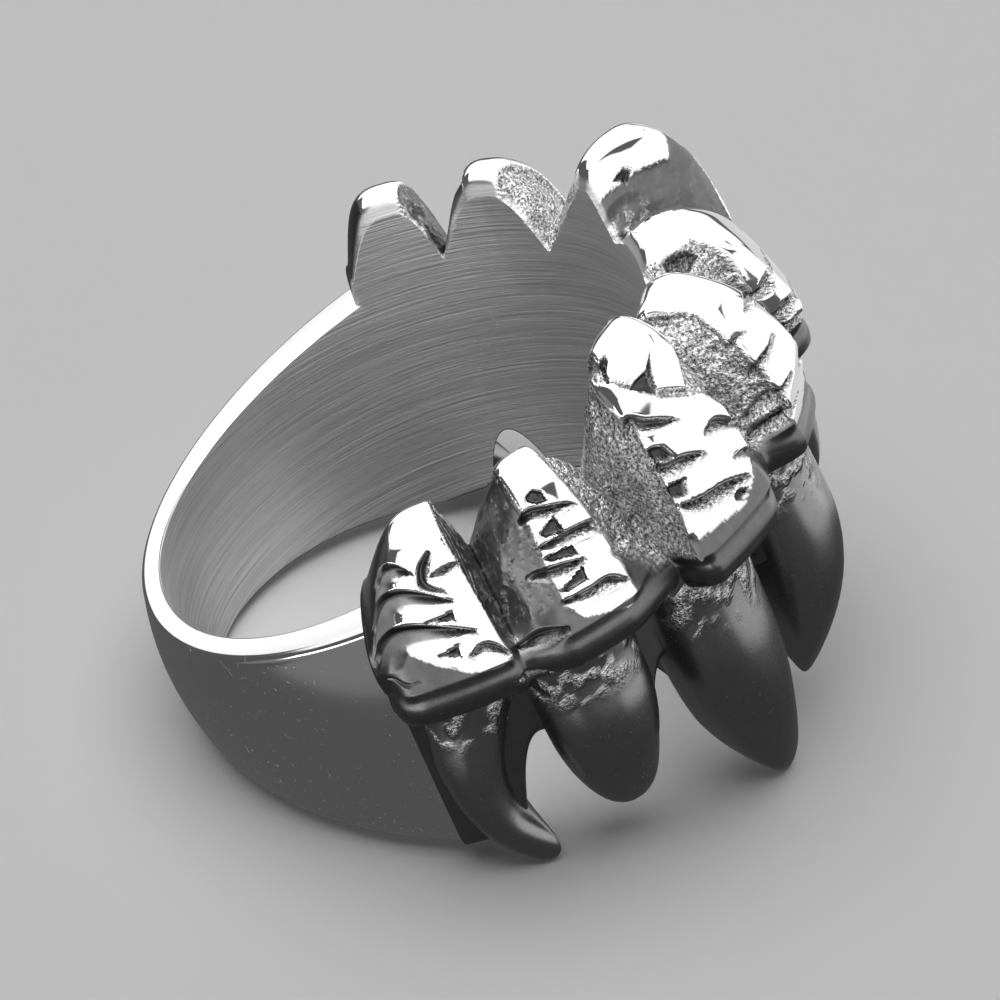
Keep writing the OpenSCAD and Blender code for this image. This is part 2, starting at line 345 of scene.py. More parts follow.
def toe_rows(n, x, t):
    """Toe n at x from -1 to 1 across it and t from 0 to 1 down it, as radius, angle and height:
    the ridge in the middle mixed with the channel at the side. Across, the radius is a flat face
    with round shoulders. The height is a dome: the cosine of a power of x, which is raised to a
    small power itself, and a higher power of x where the face is wide."""
    away = np.abs(x)
    hill = curve(ridge(TOES[n]), t)
    left_dale, right_dale = (curve(channel(notch), t) for notch in NOTCHES[n:n + 2])
    dale = np.where(x[..., None] < 0, left_dale, right_dale)
    left, left_low, right, right_low, widen = FACE_SIDES[n]
    high, low = np.where(x < 0, left, right), np.where(x < 0, left_low, right_low)
    face = mix(high, low, ease(widen, widen + WIDENING, t))
    out = 1 - ease(face, 1, away)
    power = DOME_POWER + DOME_FLATTER * np.maximum(0, face - DOME_WIDE)
    lift = np.cos(math.pi / 2 * away**power) ** DOME_ROUND
    r = mix(dale[..., 0], hill[..., 0], out)
    z = mix(dale[..., 1], hill[..., 1], lift)
    return np.stack(np.broadcast_arrays(r, toe_angle(n, x, t), z), -1)


# %% Rows below one toe
# how far from a toe's middle the fold keeps its full width
FOLD_FACE = 0.38
# beside the steps: where the fold starts to end, how far it draws in and how much thinner it gets
FOLD_END_FROM, FOLD_END, FOLD_END_THIN = 0.66, 0.5, 0.55
# height at which the fold's undercut ends on the wall
FOLD_UNDER_Z = FOLD_Z - 1.3
# the wall's lower edge at a talon gap, outside and at the bore, and its rounding
WEB_OUTER_Z, WEB_INNER_Z, EDGE_ROUND = -1.2, -2.4, 0.45
# the arch towards a talon: the growth per square millimetre from the gap, and its limit
ARCH_OUTER, ARCH_INNER = (1.3, 3.0), (0.9, 2.2)


def fold_bead(x, fold_r, foot_r, out, thick):
    """The fold at the places x as a curve of [radius, z], whose points stand off from the fold's
    own radius and height by these millimetres: from the toe's foot over the bead and its
    undercut to the wall."""
    return curve(np.array([
        [foot_r, TOE_FOOT_Z + 0 * x],
        [fold_r + 0.02, FOLD_Z + 0.6 + 0 * x],
        [fold_r + 0.1, FOLD_Z + 0.3 + 0 * x],
        [fold_r + 0.1, FOLD_Z - 0.05 * thick],
        [fold_r - 0.06, FOLD_Z - 0.4 * thick],
        [mix(WALL_R, fold_r, 0.6), FOLD_Z - 0.68 * thick],
        [WALL_R + 0.25 * out + 0.08, FOLD_Z - 0.9 * thick],
        [WALL_R + 0 * x, FOLD_UNDER_Z + 0 * x],
    ]), np.linspace(0, 1, BEAD_ROWS + 1)[1:])


def lower_rows(n, x, upper):
    """Below toe n, for the places x across it: the fold's round bead with its undercut, the wall
    down to an edge that arches between the talons, the edge, and the bore up to the toe's edge.
    The edge falls with the square of the distance from the gap, up to the arch's limit."""
    root_a = TALONS[n][0][0]
    away = np.abs(x)
    side_a = np.where(x < 0, NOTCHES[n][0], NOTCHES[n + 1][0])
    gap_a = np.where(x < 0, NOTCHES[n][2], NOTCHES[n + 1][2])
    at_step = (side_a == STEP_ANGLE) | (side_a == 360 - STEP_ANGLE)
    out = 1 - ease(FOLD_FACE, 1, away)
    ending = np.clip((away - FOLD_END_FROM) / (1 - FOLD_END_FROM), 0, 1)
    end = (1 - np.sqrt(1 - ending**2)) * at_step
    fold_r = mix(WALL_R + FOLD_OUT, max(TOES[n][-1], WALL_R + FOLD_OUT), out) - FOLD_END * end
    bead = fold_bead(x, fold_r, upper[:, -1, 0], out, 1 - FOLD_END_THIN * end)

    from_gap = (1 - away) * np.abs(np.radians(gap_a - root_a)) * WALL_R
    rim = -BAND_FRONT_H / 2 + 0.1
    edge_out, edge_in = (
        np.where(at_step, rim, web) - np.minimum(limit, growth * from_gap**2) * ~at_step
        for web, (growth, limit) in ((WEB_OUTER_Z, ARCH_OUTER), (WEB_INNER_Z, ARCH_INNER))
    )
    fold_a, low_a = upper[:, -1, 1], mix(root_a, gap_a, away)

    k = np.linspace(0, 1, WALL_ROWS + 1)[1:, None]
    q = np.linspace(0, math.pi / 2, EDGE_ROWS + 1)[1:, None]
    s = np.linspace(0, 1, EDGE_ROWS + 1)[1:, None]
    b = ease(0, 1, np.linspace(0, 1, BORE_ROWS + 1)[1:-1, None])
    wall_z = mix(FOLD_UNDER_Z, edge_out + EDGE_ROUND, k)
    turn_r, turn_z = WALL_R - EDGE_ROUND * (1 - np.cos(q)), edge_out + EDGE_ROUND * (1 - np.sin(q))
    under_r, under_z = mix(WALL_R - EDGE_ROUND, BORE_R, s), mix(edge_out, edge_in, s**1.3)
    bore_a, bore_z = mix(low_a, upper[:, 0, 1], b), mix(edge_in, upper[:, 0, 2], b)
    parts = [
        (bead[:, 0], fold_a, bead[:, 1]),
        (WALL_R, mix(fold_a, low_a, ease(0, 0.6, k)), wall_z),
        (turn_r, low_a, turn_z),
        (under_r, low_a, under_z),
        (BORE_R, bore_a, bore_z),
    ]
    rows = [np.stack(np.broadcast_arrays(*part), -1) for part in parts]
    return np.concatenate(rows).transpose(1, 0, 2)


PAW_ROWS = TOE_ROWS + BEAD_ROWS + WALL_ROWS + 2 * EDGE_ROWS + BORE_ROWS - 1
print("the paw's grid:", len(TOES) * TOE_COLS + 1, "columns and", PAW_ROWS, "rows")

# %% [markdown]
# ## Faces, creases and pits
#
# A toe's polished face is a plate that stands a little proud of its sandy flanks, with an edge
# as uneven as a hand-cut one. Creases that slant up to the right cross it, each with a sharp
# upper wall darkened by painted shade and a gentle sandy lower one, and between them sit small
# angular pits with painted shade on their floors. All of them break the outline, so they have
# to be geometry and not only bump. A boolean cut would leave ragged edges on a dense mesh. Here
# each one is drawn on the surface, and the grid's points near it sink along the normal by their
# distance from the line.

# %% Distances on a grid
def grid_normals(p):
    """Unit normals of a grid of points: the cross product of its two directions."""
    n = np.cross(np.gradient(p, axis=1), np.gradient(p, axis=0))
    return n / np.maximum(np.linalg.norm(n, axis=-1, keepdims=True), 1e-9)


def to_grid(toe, spots):
    """Places (x, t) on a toe as fractional columns and rows of the whole paw; past the foot,
    where t is over 1, each hundredth is one row."""
    x, t = np.asarray(spots, float).T
    row = np.where(t < 1, t * (TOE_ROWS - 1), TOE_ROWS - 1 + (t - 1) * 100)
    return np.stack([(toe + (x + 1) / 2) * TOE_COLS, row], -1)


def on_grid(p, column, row):
    """Points of the grid at fractional columns and rows, mixed from the four nearest."""
    c = np.clip(column, 0, p.shape[0] - 1.001)
    r = np.clip(row, 0, p.shape[1] - 1.001)
    i, j = np.floor(c).astype(int), np.floor(r).astype(int)
    f, g = (c - i)[..., None], (r - j)[..., None]
    return mix(mix(p[i, j], p[i + 1, j], f), mix(p[i, j + 1], p[i + 1, j + 1], f), g)


def window(p, track, margin):
    """The part of the grid round a track of columns and rows, with a margin."""
    low = np.maximum(np.floor(track.min(0)).astype(int) - margin, 0)
    high = np.minimum(np.ceil(track.max(0)).astype(int) + margin, p.shape[:2])
    return slice(low[0], high[0]), slice(low[1], high[1])


# %% Outlines and creases drawn on a grid
def inside_outline(columns, rows, corners):
    """Whether places lie inside a closed outline: they do where a ray to the right crosses it an
    odd number of times."""
    x1, y1 = corners.T
    x2, y2 = np.roll(corners, -1, axis=0).T
    above = (y1 > rows[..., None]) != (y2 > rows[..., None])
    rise = np.where(y2 == y1, 1e-9, y2 - y1)
    crossing = x1 + (rows[..., None] - y1) * (x2 - x1) / rise
    return (above & (columns[..., None] < crossing)).sum(-1) % 2 == 1


def outline_distance(p, corners, margin):
    """Distance in mm from an outline drawn on the grid, less than 0 inside it, and the window it
    covers. It is the distance to the nearest of eight points on each side of the outline."""
    loop = np.concatenate([corners, corners[:1]])
    eighths = np.linspace(0, 1, 9)[:-1, None]
    track = np.concatenate([mix(a, b, eighths) for a, b in zip(loop, loop[1:])])
    drawn = track[track[:, 1] >= 0]
    path = on_grid(p, drawn[:, 0], drawn[:, 1])
    part = window(p, track, margin)
    far = np.sqrt(((p[part][:, :, None] - path) ** 2).sum(-1).min(-1))
    places = (np.arange(side.start, side.stop) for side in part)
    columns, rows = np.meshgrid(*places, indexing="ij")
    return np.where(inside_outline(columns, rows, corners), -far, far), part


# points along a crease, grid points round it that are looked at, and its least half width in mm
CREASE_POINTS, CREASE_MARGIN, CREASE_LEAST = 25, 16, 0.02
# how wide the upper and the lower wall are, in half widths, the half width below which a crease
# is shallower, and how fast the upper wall turns into the lower one, per row
CREASE_UPPER, CREASE_LOWER, CREASE_THIN, CREASE_SIDE = 0.95, 1.7, 0.15, 0.7
# how sandy the lower wall is, and how much less painted shade it gets than the upper one
CREASE_SAND, CREASE_LOWER_SHADE_CUT = 0.9, 0.7


def crease(p, line, width, depth):
    """How far the grid sinks for one crease, how much dullness and sand its walls get, and how much
    painted shade. The dullness also darkens the tone, which is painted shade too. Across, it is a
    V, steep and painted darker above the line, gentle and sandy below it. Along, its half width and
    depth follow curves. The distance is that to the nearest piece of the line."""
    track = curve(line, np.linspace(0, 1, CREASE_POINTS))
    path = on_grid(p, track[:, 0], track[:, 1])
    part = window(p, track, CREASE_MARGIN)
    a, d = path[:-1], np.diff(path, axis=0)
    rel = p[part][:, :, None] - a
    s = np.clip((rel * d).sum(-1) / np.maximum((d * d).sum(-1), 1e-9), 0, 1)
    far = np.linalg.norm(rel - s[..., None] * d, axis=-1)
    best = far.argmin(-1)[..., None]
    dist = np.take_along_axis(far, best, -1)[..., 0]
    place = (best + np.take_along_axis(s, best, -1))[..., 0]
    share = place / (CREASE_POINTS - 1)
    half = np.maximum(curve(width, share), CREASE_LEAST)
    deep = curve(np.resize(depth, max(2, np.size(depth))), share)
    line_row = np.interp(place, np.arange(CREASE_POINTS), track[:, 1])
    rows = np.arange(part[1].start, part[1].stop)[None, :]
    lower = ease(-1, 1, (rows - line_row) * CREASE_SIDE)
    v = np.clip(1 - dist / (half * mix(CREASE_UPPER, CREASE_LOWER, lower)), 0, 1)
    sink = deep * np.minimum(1, half / CREASE_THIN) * mix(ease(0, 0.85, v), v**0.9, lower)
    # dullness on both walls, whose darker tone is painted shade, and sand on the lower wall
    dull_and_shade, sand = ease(0.1, 0.5, v), CREASE_SAND * ease(0.05, 0.35, v) * lower
    # the last number is painted shade, full on the upper wall and less on the lower one
    return sink, dull_and_shade, sand, ease(0.35, 0.9, v) * (1 - CREASE_LOWER_SHADE_CUT * lower), part


# %% [markdown]
# ## Where the faces end and the creases run
#
# Every outline and crease is listed by the toe it is on, and by points across it (x, from -1 to
# 1) and down it (t, from 0 at the bore over 1 at the foot). The near toes follow the real
# ring; the far ones are mostly their mirror image, because the two sides of the real one are
# alike. Lines cut into the mesh by hand would look much the same, but a line in a table can be
# moved by changing one number.

# %% Outlines of the polished faces
# toe, corners of the outline
FACES = [
    (0, [(-0.45, -0.1), (0.42, -0.1), (0.36, 0.25), (0.35, 0.48), (0.38, 0.65), (0.43, 0.74),
     (0.48, 0.83), (0.55, 0.92), (0.60, 0.99), (0.37, 1.02), (0.08, 0.99), (-0.18, 0.95),
     (-0.42, 0.90), (-0.52, 0.82), (-0.50, 0.73), (-0.47, 0.65), (-0.40, 0.52), (-0.40, 0.35)]),
    (1, [(-0.45, -0.1), (0.42, -0.1), (0.36, 0.25), (0.43, 0.48), (0.52, 0.65), (0.58, 0.75),
     (0.63, 0.85), (0.62, 0.93), (0.57, 1.00), (0.47, 1.05), (0.17, 1.00), (-0.17, 0.98),
     (-0.33, 0.93), (-0.32, 0.89), (-0.35, 0.84), (-0.33, 0.78), (-0.33, 0.72), (-0.32, 0.66),
     (-0.37, 0.57), (-0.40, 0.41)]),
    (2, [(-0.55, -0.1), (0.5, -0.1), (0.5, 0.25), (0.55, 0.48), (0.58, 0.57), (0.42, 0.68),
     (0.24, 0.755), (-0.08, 0.705), (-0.32, 0.65), (-0.60, 0.50), (-0.53, 0.40), (-0.50, 0.3)]),
    (2, [(-0.70, 0.33), (-0.66, 0.44), (-0.50, 0.59), (-0.30, 0.67), (-0.10, 0.725), (0.22, 0.775),
     (0.40, 0.785), (0.57, 0.83), (0.55, 0.92), (0.40, 0.965), (0.17, 0.985), (-0.18, 0.975),
     (-0.53, 0.97), (-0.70, 0.95), (-0.62, 0.92), (-0.68, 0.86), (-0.60, 0.82), (-0.69, 0.76),
     (-0.66, 0.71), (-0.74, 0.62), (-0.77, 0.52), (-0.76, 0.42)]),
    (3, [(-0.5, -0.1), (0.5, -0.1), (0.5, 0.3), (0.5, 0.8), (0.4, 1.0), (-0.1, 1.03), (-0.38, 1.02),
     (-0.45, 0.97), (-0.53, 0.91), (-0.50, 0.85), (-0.57, 0.79), (-0.50, 0.77), (-0.53, 0.74),
     (-0.52, 0.71), (-0.48, 0.68), (-0.55, 0.65), (-0.47, 0.62), (-0.43, 0.59), (-0.35, 0.55),
     (-0.40, 0.47), (-0.52, 0.40), (-0.52, 0.26)]),
    (4, [(-0.70, -0.1), (0.5, -0.1), (0.45, 0.3), (0.5, 0.85), (0.35, 1.0), (-0.2, 1.02),
     (-0.5, 1.01), (-0.72, 0.97), (-0.80, 0.83), (-0.79, 0.75), (-0.80, 0.70), (-0.76, 0.64),
     (-0.70, 0.57), (-0.64, 0.49), (-0.58, 0.44), (-0.63, 0.38), (-0.75, 0.24)]),
    (5, [(-0.65, -0.1), (0.5, -0.1), (0.5, 0.35), (0.45, 0.55), (0.0, 0.6), (-0.38, 0.57),
     (-0.48, 0.56), (-0.60, 0.57), (-0.67, 0.49), (-0.73, 0.3)]),
    (5, [(-0.4, 0.68), (0.0, 0.65), (0.35, 0.60), (0.62, 0.50), (0.70, 0.60), (0.62, 0.70),
     (0.68, 0.78), (0.62, 0.86), (0.64, 0.93), (0.45, 0.98), (-0.1, 0.98), (-0.45, 0.95),
     (-0.5, 0.8)]),
]


def mirrored(table, toes):
    """Rows of a table again on the toes of the other side, for the toes given."""
    last = len(TOES) - 1
    rows = [row for row in table if row[0] in toes]
    return [(last - toe, [(-x, t) for x, t in spots], *rest) for toe, spots, *rest in rows]


FACES += mirrored(FACES, (0, 1))
print(len(FACES), "faces")

# %% Creases and pits
# toe, points along the crease, half widths along it in mm, depth or depths along it in mm
CREASES = [
    (0, [(-0.62, 0.60), (-0.38, 0.66), (-0.18, 0.709)], (0.38, 0.24, 0.05), (0.1, 0.3, 0.34)),
    (0, [(-0.75, 0.70), (-0.30, 0.76), (0.15, 0.815)], (0.44, 0.30, 0.06), (0.1, 0.36, 0.38)),
    (0, [(-0.78, 0.81), (-0.25, 0.86), (0.27, 0.905)], (0.46, 0.34, 0.06), (0.1, 0.36, 0.40)),
    (0, [(0.00, 0.735), (0.18, 0.730), (0.42, 0.714)], (0.04, 0.14, 0.06), 0.25),
    (0, [(0.15, 0.958), (0.32, 0.947), (0.55, 0.979)], (0.07, 0.18, 0.10), 0.28),
    (0, [(-0.88, 0.905), (-0.58, 0.963), (-0.35, 0.974)], (0.03, 0.06, 0.03), 0.12),
    (0, [(0.07, 0.66), (-0.07, 0.704), (-0.08, 0.751), (0.12, 0.788)],
     (0.10, 0.16, 0.16, 0.05), 0.28),
    (1, [(-0.42, 0.677), (-0.22, 0.683), (0.10, 0.709), (0.45, 0.714)],
     (0.12, 0.22, 0.18, 0.04), 0.34),
    (1, [(-0.35, 0.778), (-0.05, 0.788), (0.32, 0.788), (0.58, 0.778)],
     (0.06, 0.18, 0.20, 0.22), 0.36),
    (1, [(-0.60, 0.815), (-0.35, 0.841), (-0.07, 0.857), (0.18, 0.862)],
     (0.10, 0.22, 0.22, 0.05), 0.36),
    (1, [(-0.32, 0.926), (0.08, 0.937), (0.38, 0.937), (0.57, 0.958)],
     (0.10, 0.18, 0.20, 0.05), 0.32),
    (0, [(0.50, 1.14), (0.80, 1.14), (1.10, 1.17), (1.35, 1.24)], (0.04, 0.17, 0.17, 0.04), 0.2),
    (1, [(-0.98, 1.000), (-0.70, 0.984), (-0.43, 0.984)], (0.11, 0.25, 0.11), 0.30),
    (1, [(0.62, 0.868), (0.75, 0.852)], (0.22, 0.22), 0.22),
    (2, [(-0.84, 0.58), (-0.70, 0.66), (-0.50, 0.73), (-0.25, 0.767), (-0.08, 0.790)],
     (0.10, 0.22, 0.24, 0.16, 0.04), (0.05, 0.25, 0.34, 0.34)),
    (2, [(-0.78, 0.790), (-0.52, 0.840), (-0.23, 0.858), (0.02, 0.877)],
     (0.09, 0.23, 0.22, 0.04), 0.36),
    (2, [(-0.55, 0.910), (-0.23, 0.931), (0.07, 0.942), (0.36, 0.958)],
     (0.09, 0.23, 0.23, 0.06), 0.38),
    (2, [(0.12, 0.852), (0.33, 0.852), (0.58, 0.873)], (0.07, 0.22, 0.13), 0.28),
    (2, [(0.28, 0.915), (0.48, 0.926), (0.62, 0.94)], (0.04, 0.13, 0.07), 0.20),
    (3, [(-0.58, 0.672), (-0.45, 0.667), (-0.18, 0.693)], (0.04, 0.16, 0.04), 0.28),
    (3, [(-0.62, 0.755), (-0.50, 0.746), (-0.12, 0.757), (0.2, 0.76)],
     (0.18, 0.20, 0.12, 0.05), 0.34),
    (3, [(-0.83, 0.884), (-0.65, 0.836), (-0.38, 0.831), (0.0, 0.84)],
     (0.11, 0.29, 0.15, 0.05), 0.36),
    (3, [(-0.90, 0.97), (-0.75, 0.95), (-0.45, 0.935), (-0.05, 0.93)],
     (0.11, 0.26, 0.2, 0.05), 0.36),
    (3, [(0.15, 0.68), (0.35, 0.68), (0.6, 0.66)], (0.04, 0.16, 0.16), 0.3),
    (3, [(0.2, 0.87), (0.4, 0.87), (0.65, 0.85)], (0.04, 0.2, 0.2), 0.34),
    (4, [(-0.80, 0.744), (-0.73, 0.744), (-0.60, 0.726), (0.0, 0.74)],
     (0.07, 0.22, 0.14, 0.04), 0.33),
    (4, [(-0.84, 0.868), (-0.75, 0.840), (-0.60, 0.813), (0.05, 0.83)],
     (0.07, 0.25, 0.16, 0.04), 0.35),
    (4, [(-0.88, 0.98), (-0.76, 0.96), (-0.5, 0.93), (0.0, 0.93)], (0.11, 0.26, 0.16, 0.05), 0.35),
    (4, [(0.1, 0.69), (0.35, 0.69), (0.6, 0.68)], (0.04, 0.16, 0.16), 0.3),
    (4, [(0.15, 0.8), (0.4, 0.79), (0.65, 0.77)], (0.04, 0.2, 0.2), 0.34),
    (4, [(0.1, 0.9), (0.35, 0.9), (0.6, 0.88)], (0.04, 0.18, 0.18), 0.34),
]
CREASES += mirrored(CREASES, (0, 1, 2))
# toe, corners of the pit, depth in mm
PITS = [
    (0, [(-0.18, 0.845), (0.13, 0.838), (0.12, 0.866)], 0.2),
    (0, [(-0.18, 0.933), (0.07, 0.920), (0.05, 0.951)], 0.2),
    (1, [(-0.20, 0.619), (-0.05, 0.605), (0.08, 0.640), (0.10, 0.685), (-0.08, 0.675),
     (-0.20, 0.646)], 0.24),
    (1, [(-0.25, 0.750), (0.07, 0.728), (0.12, 0.778), (-0.18, 0.767)], 0.26),
    (1, [(-0.37, 0.804), (0.12, 0.815), (0.15, 0.848), (-0.25, 0.825)], 0.24),
    (1, [(-0.33, 0.900), (0.13, 0.872), (0.10, 0.912), (-0.23, 0.909)], 0.24),
    (2, [(-0.57, 0.393), (-0.38, 0.393), (-0.43, 0.447), (-0.58, 0.479), (-0.58, 0.525),
     (-0.63, 0.489), (-0.62, 0.425)], 0.3),
    (2, [(0.13, 0.580), (-0.03, 0.658), (-0.10, 0.708), (-0.40, 0.635), (-0.30, 0.621),
     (-0.10, 0.626)], 0.3),
    (2, [(-0.77, 0.749), (-0.67, 0.772), (-0.38, 0.808), (-0.30, 0.845), (-0.72, 0.804)], 0.28),
    (2, [(-0.85, 0.808), (-0.73, 0.858), (-0.42, 0.877), (-0.32, 0.881), (-0.38, 0.909),
     (-0.67, 0.890)], 0.28),
    (2, [(0.07, 0.966), (0.17, 0.957), (0.32, 0.975), (0.18, 0.98)], 0.2),
    (4, [(-0.73, 0.247), (-0.67, 0.397), (-0.77, 0.489), (-0.90, 0.466), (-0.93, 0.315)], 0.25),
    (5, [(-0.68, 0.25), (-0.64, 0.34), (-0.68, 0.39), (-0.75, 0.36)], 0.2),
]
PITS += mirrored(PITS, (0, 1, 2))
print(len(CREASES), "creases and", len(PITS), "pits")

# %% Sink them into the paw's grid
# grid points round a face and round a pit that are looked at, and a pit's wall in mm
FACE_MARGIN, PIT_MARGIN, PIT_WALL = 60, 6, (0.01, -0.09)
PIT_SAND = 0.2
NO_FACE_NEAR = 9.0


def carve(p):
    """For each point of the paw's grid: its distance from the faces' outlines, how far it sinks,
    and how much dullness, sand and painted shade a crease or pit gives it; the dullness also
    darkens the tone as painted shade. The deepest of all sinks holds."""
    fields = [np.zeros(p.shape[:2]) for _ in range(4)]
    face = np.full(p.shape[:2], NO_FACE_NEAR)
    for toe, corners in FACES:
        away, part = outline_distance(p, to_grid(toe, corners), FACE_MARGIN)
        face[part] = np.minimum(face[part], away)
    for toe, line, width, depth in CREASES:
        *marks, part = crease(p, to_grid(toe, line), np.asarray(width, float), depth)
        for field, mark in zip(fields, marks):
            field[part] = np.maximum(field[part], mark)
    for toe, corners, depth in PITS:
        away, part = outline_distance(p, to_grid(toe, corners), PIT_MARGIN)
        floor = ease(*PIT_WALL, away)
        # a pit's floor gets full dullness and full painted shade, both darkening its tone as shade
        # would
        for field, share in zip(fields, (depth, 1, PIT_SAND, 1)):
            field[part] = np.maximum(field[part], share * floor)
    return face, *fields


NOISE_WAVES = 14


def cast_noise(p, spacing, seed):
    """Smooth cast unevenness, mostly from -1 to 1: twice the mean of several sines in random
    directions, fixed by the seed, whose waves are about the spacing long."""
    rng = np.random.default_rng(seed)
    waves = rng.normal(size=(NOISE_WAVES, 3)) * 2 * math.pi / spacing
    phases = rng.uniform(0, 2 * math.pi, NOISE_WAVES)
    return np.sin(p @ waves.T + phases).mean(-1) * 2


def bumps(p, waves):
    """A sum of cast noises, each with its height, its spacing in mm and its seed."""
    return sum(height * cast_noise(p, spacing, seed) for height, spacing, seed in waves)


# %% [markdown]
# ## The paw put together
#
# On the real ring the toes share one skin, and their finish changes without a seam. So all of
# them are first laid side by side in one grid, are given their creases, edges, finish and painted
# shade there, and are only then cut into one piece for each toe, which share the column at each
# cut. Eight toes made one by one would need the same care at every joint. At both steps the grid
# turns in and ends inside the band.

# %% Grid of the whole paw
# how sandy the left and the right flank of each toe is, where 0 is smooth satin with its painted
# shade tone
FLANKS = [
    (0.0, 0.25), (0.15, 0.9), (1.0, 0.6), (1.0, 0.8),
    (1.0, 0.8), (0.1, 1.0), (0.9, 0.15), (0.25, 0.0),
]
# places across a toe between which its flanks' sandiness goes over to the next one's
FLANK_PLACES = [-1, -0.8, -0.2, 0.2, 0.8, 1]


def paw_grid():
    """All eight toes and what is below them, side by side, as radius, angle and height. Also, for
    each column, how sandy its flank is and how far it lies from the middle of its toe."""
    x = np.linspace(-1, 1, TOE_COLS + 1)
    t = np.linspace(0, 1, TOE_ROWS)
    last = len(TOES) - 1
    strips, flank, away = [], [], []
    for n in range(len(TOES)):
        xs = x if n == last else x[:-1]
        upper = toe_rows(n, xs[:, None], t[None, :])
        strips.append(np.concatenate([upper, lower_rows(n, xs, upper)], 1))
        left, right = FLANKS[n]
        before, after = FLANKS[max(n - 1, 0)][1], FLANKS[min(n + 1, last)][0]
        sides = (before + left) / 2, left, left, right, right, (right + after) / 2
        flank.append(np.interp(xs, FLANK_PLACES, sides))
        away.append(np.abs(xs))
    return np.concatenate(strips), np.concatenate(flank)[:, None], np.concatenate(away)[:, None]


# %% Skin of the whole paw
# how far the flanks lie below the faces, in mm, and how much of that they rise again
PLATE, PLATE_BACK = 0.26, 0.8
# distances in mm from a face's outline over which the flank falls, and over which it rises again
FALL, RISE = (-0.16, 0.22), (0.5, 1.3)
# height, spacing and seed of the bumps on the faces' edges, on the sandy skin and in its patches
EDGE_BUMPS = (0.04, 0.5, 1), (0.02, 0.2, 2)
SKIN_BUMPS = (0.05, 0.8, 3), (0.025, 0.35, 4)
PATCH_BUMPS = ((1.0, 0.5, 5),)


def paw_skin(polar, flank, away):
    """The paw's grid in mm with faces, creases and pits, and its numbers for the surface and for
    painted shade. Off the faces the flanks sink and turn satiny, as does all below the toes but the
    bore; that satiny tone is darker, a painted shade. Patches of sand come where the flank is a
    sandy one. Creases and pits add their own sink, dullness, sand and painted shade. The rough
    places also get a shallow cast unevenness, and nothing sinks into the bore."""
    r, a, z = polar[..., 0], polar[..., 1], polar[..., 2]
    mm = ring_mm(r, a, z)
    normals = grid_normals(mm)
    down = np.arange(mm.shape[1])[None, :]
    below = down > TOE_ROWS + 8
    in_bore = down > TOE_ROWS + BEAD_ROWS + WALL_ROWS + 2 * EDGE_ROWS - 1
    on_toe = ease(TOE_ROWS + 6, TOE_ROWS - 4, down)
    near_foot = ease(0.88 * TOE_ROWS, 0.95 * TOE_ROWS, down) * ease(0.95, 0.75, away)
    outside = 1 - ease(WALL_R + 0.6, WALL_R, r) * (down > TOE_ROWS)

    face, sink, dull_and_shade, sand, painted_shade = carve(mm)
    past = ease(-0.03, 0.04, face + bumps(mm, EDGE_BUMPS))
    ledge = PLATE * ease(*FALL, face) * (1 - PLATE_BACK * ease(*RISE, face)) * ease(0, 0.3, flank)
    ledge = ledge * ease(TOE_ROWS, 0.9 * TOE_ROWS, down)
    patches = ease(-0.6, 0.4, bumps(mm, PATCH_BUMPS) + 2.0 * (flank - 0.4))
    sandy = past * patches * on_toe * ease(0, 0.5, flank) * (1 - near_foot)
    sandy = np.maximum(sandy, sand * ease(0, 0.4, flank))
    # satin off the faces, in creases and below the toes; its darker tone is painted shade
    satin = np.maximum(np.maximum(past, dull_and_shade), below * ~in_bore)
    mm = mm - normals * ((sink + ledge) * outside + bumps(mm, SKIN_BUMPS) * sandy)[..., None]
    mm[..., :2] *= np.maximum(1, BORE_R / np.hypot(mm[..., 0], mm[..., 1]))[..., None]
    bore = np.where(down < TOE_ROWS / 2, ease(BORE_R + 0.3, BORE_R + 0.1, r), in_bore)
    finish_and_shade = dict(zip(FINISH_AND_SHADE_KEYS, np.broadcast_arrays(sandy, satin, bore, painted_shade)))
    return mm, scratch_coords(r, a, z), finish_and_shade


# %% Build the paw
# columns that turn in at each end, the degrees they cover, and what is left there of the height
# and of the wall, which stands this far off the bore
TUCK_COLS, TUCK_ANGLE, TUCK_HEIGHT, TUCK_WALL, TUCK_OFF = 8, 1.3, 0.72, 0.5, 0.12
TOE_CREASE_DEG = 80


def tucked(edge, way):
    """Columns that go on from the paw's last one, way being -1 or 1 for the direction. Their angle
    follows a sine and their narrowing a cosine, as on a quarter of a circle."""
    q = np.linspace(0, math.pi / 2, TUCK_COLS + 1)[1:, None]
    turn = 1 - np.cos(q)
    r = mix(edge[:, 0], BORE_R + TUCK_OFF + TUCK_WALL * (edge[:, 0] - BORE_R), turn)
    z = mix(edge[:, 2], TUCK_HEIGHT * edge[:, 2], turn)
    return ring_mm(r, edge[:, 1] + way * TUCK_ANGLE * np.sin(q), z)


